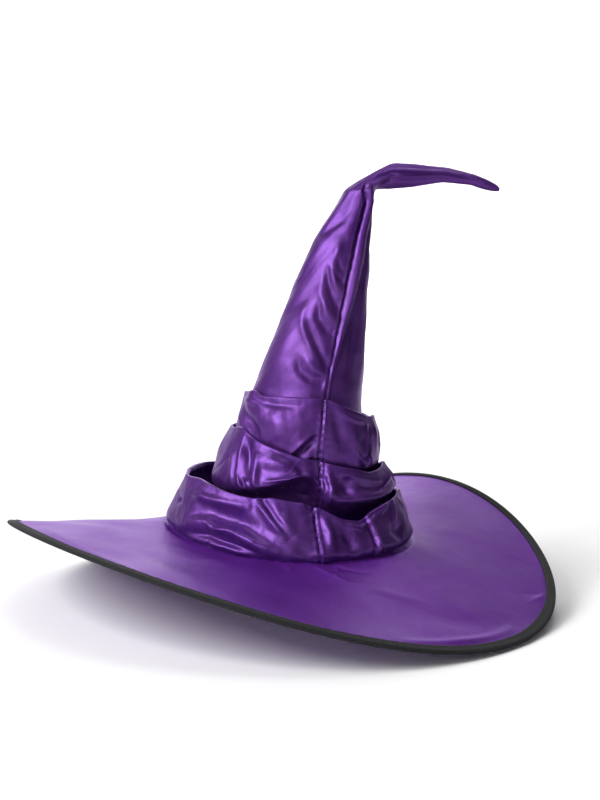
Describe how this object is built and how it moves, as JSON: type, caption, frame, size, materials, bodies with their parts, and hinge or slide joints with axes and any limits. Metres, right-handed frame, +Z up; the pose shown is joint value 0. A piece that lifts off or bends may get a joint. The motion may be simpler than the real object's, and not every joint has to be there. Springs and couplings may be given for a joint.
{
  "type": "costume witch hat",
  "caption": "Soft pointed costume hat with a crown slumped in folds, a drooping tip and a wide saddle-shaped brim sprung by a wire hoop in a bound edge.",
  "frame": {"origin": "on the surface the brim stands on, under the centre of the hoop (centre of the bottom of the object's box)", "axes": "+Z up along the hat; +X the way the tip droops; -Y the side with the crown's seam"},
  "size_m": [0.4298, 0.4298, 0.3446],
  "materials": {
    "satin": "glossy polyester satin",
    "interlining": "non-woven, matt",
    "spring_wire": "drawn spring wire",
    "crimp_sleeve": "crimped tube",
    "binding": "matt woven bias tape",
    "band_ribbon": "ribbed grosgrain ribbon",
    "label_tape": "plain woven label, blank",
    "thread": "twisted sewing thread"
  },
  "bodies": {
    "brim": {"brim_top_cover": "satin", "brim_under_cover": "satin", "brim_interlining": "interlining", "brim_hoop_wire": "spring_wire", "hoop_joining_sleeve": "crimp_sleeve", "brim_edge_binding": "binding", "head_band": "band_ribbon", "care_label": "label_tape", "crown_lower_tier": "satin", "lower_tier_interlining": "interlining", "lower_tier_tack": "thread"},
    "middle_tier": {"crown_middle_tier": "satin", "middle_tier_interlining": "interlining", "middle_tier_tack": "thread"},
    "top_tier": {"crown_top_tier": "satin", "top_tier_interlining": "interlining", "top_tier_tack": "thread"},
    "upper_cone": {"crown_upper_cone": "satin", "upper_cone_interlining": "interlining"},
    "tip": {"crown_tip": "satin"}
  },
  "joints": [
    {"name": "middle_tier_press", "type": "slide", "parent": "brim", "child": "middle_tier", "axis": [0.1219, 0, 0.9925], "range_m": [-0.01, 0.004]},
    {"name": "top_tier_press", "type": "slide", "parent": "middle_tier", "child": "top_tier", "axis": [0.1736, 0, 0.9848], "range_m": [-0.01, 0.004]},
    {"name": "upper_crown_lean", "type": "hinge", "parent": "top_tier", "child": "upper_cone", "pos_m": [0.01775, 0, 0.15305], "axis": [0, 1, 0], "range_deg": [-10, 10]},
    {"name": "tip_bend", "type": "hinge", "parent": "upper_cone", "child": "tip", "pos_m": [0.05689, 0, 0.33408], "axis": [0, 1, 0], "range_deg": [-80, 25]}
  ]
}
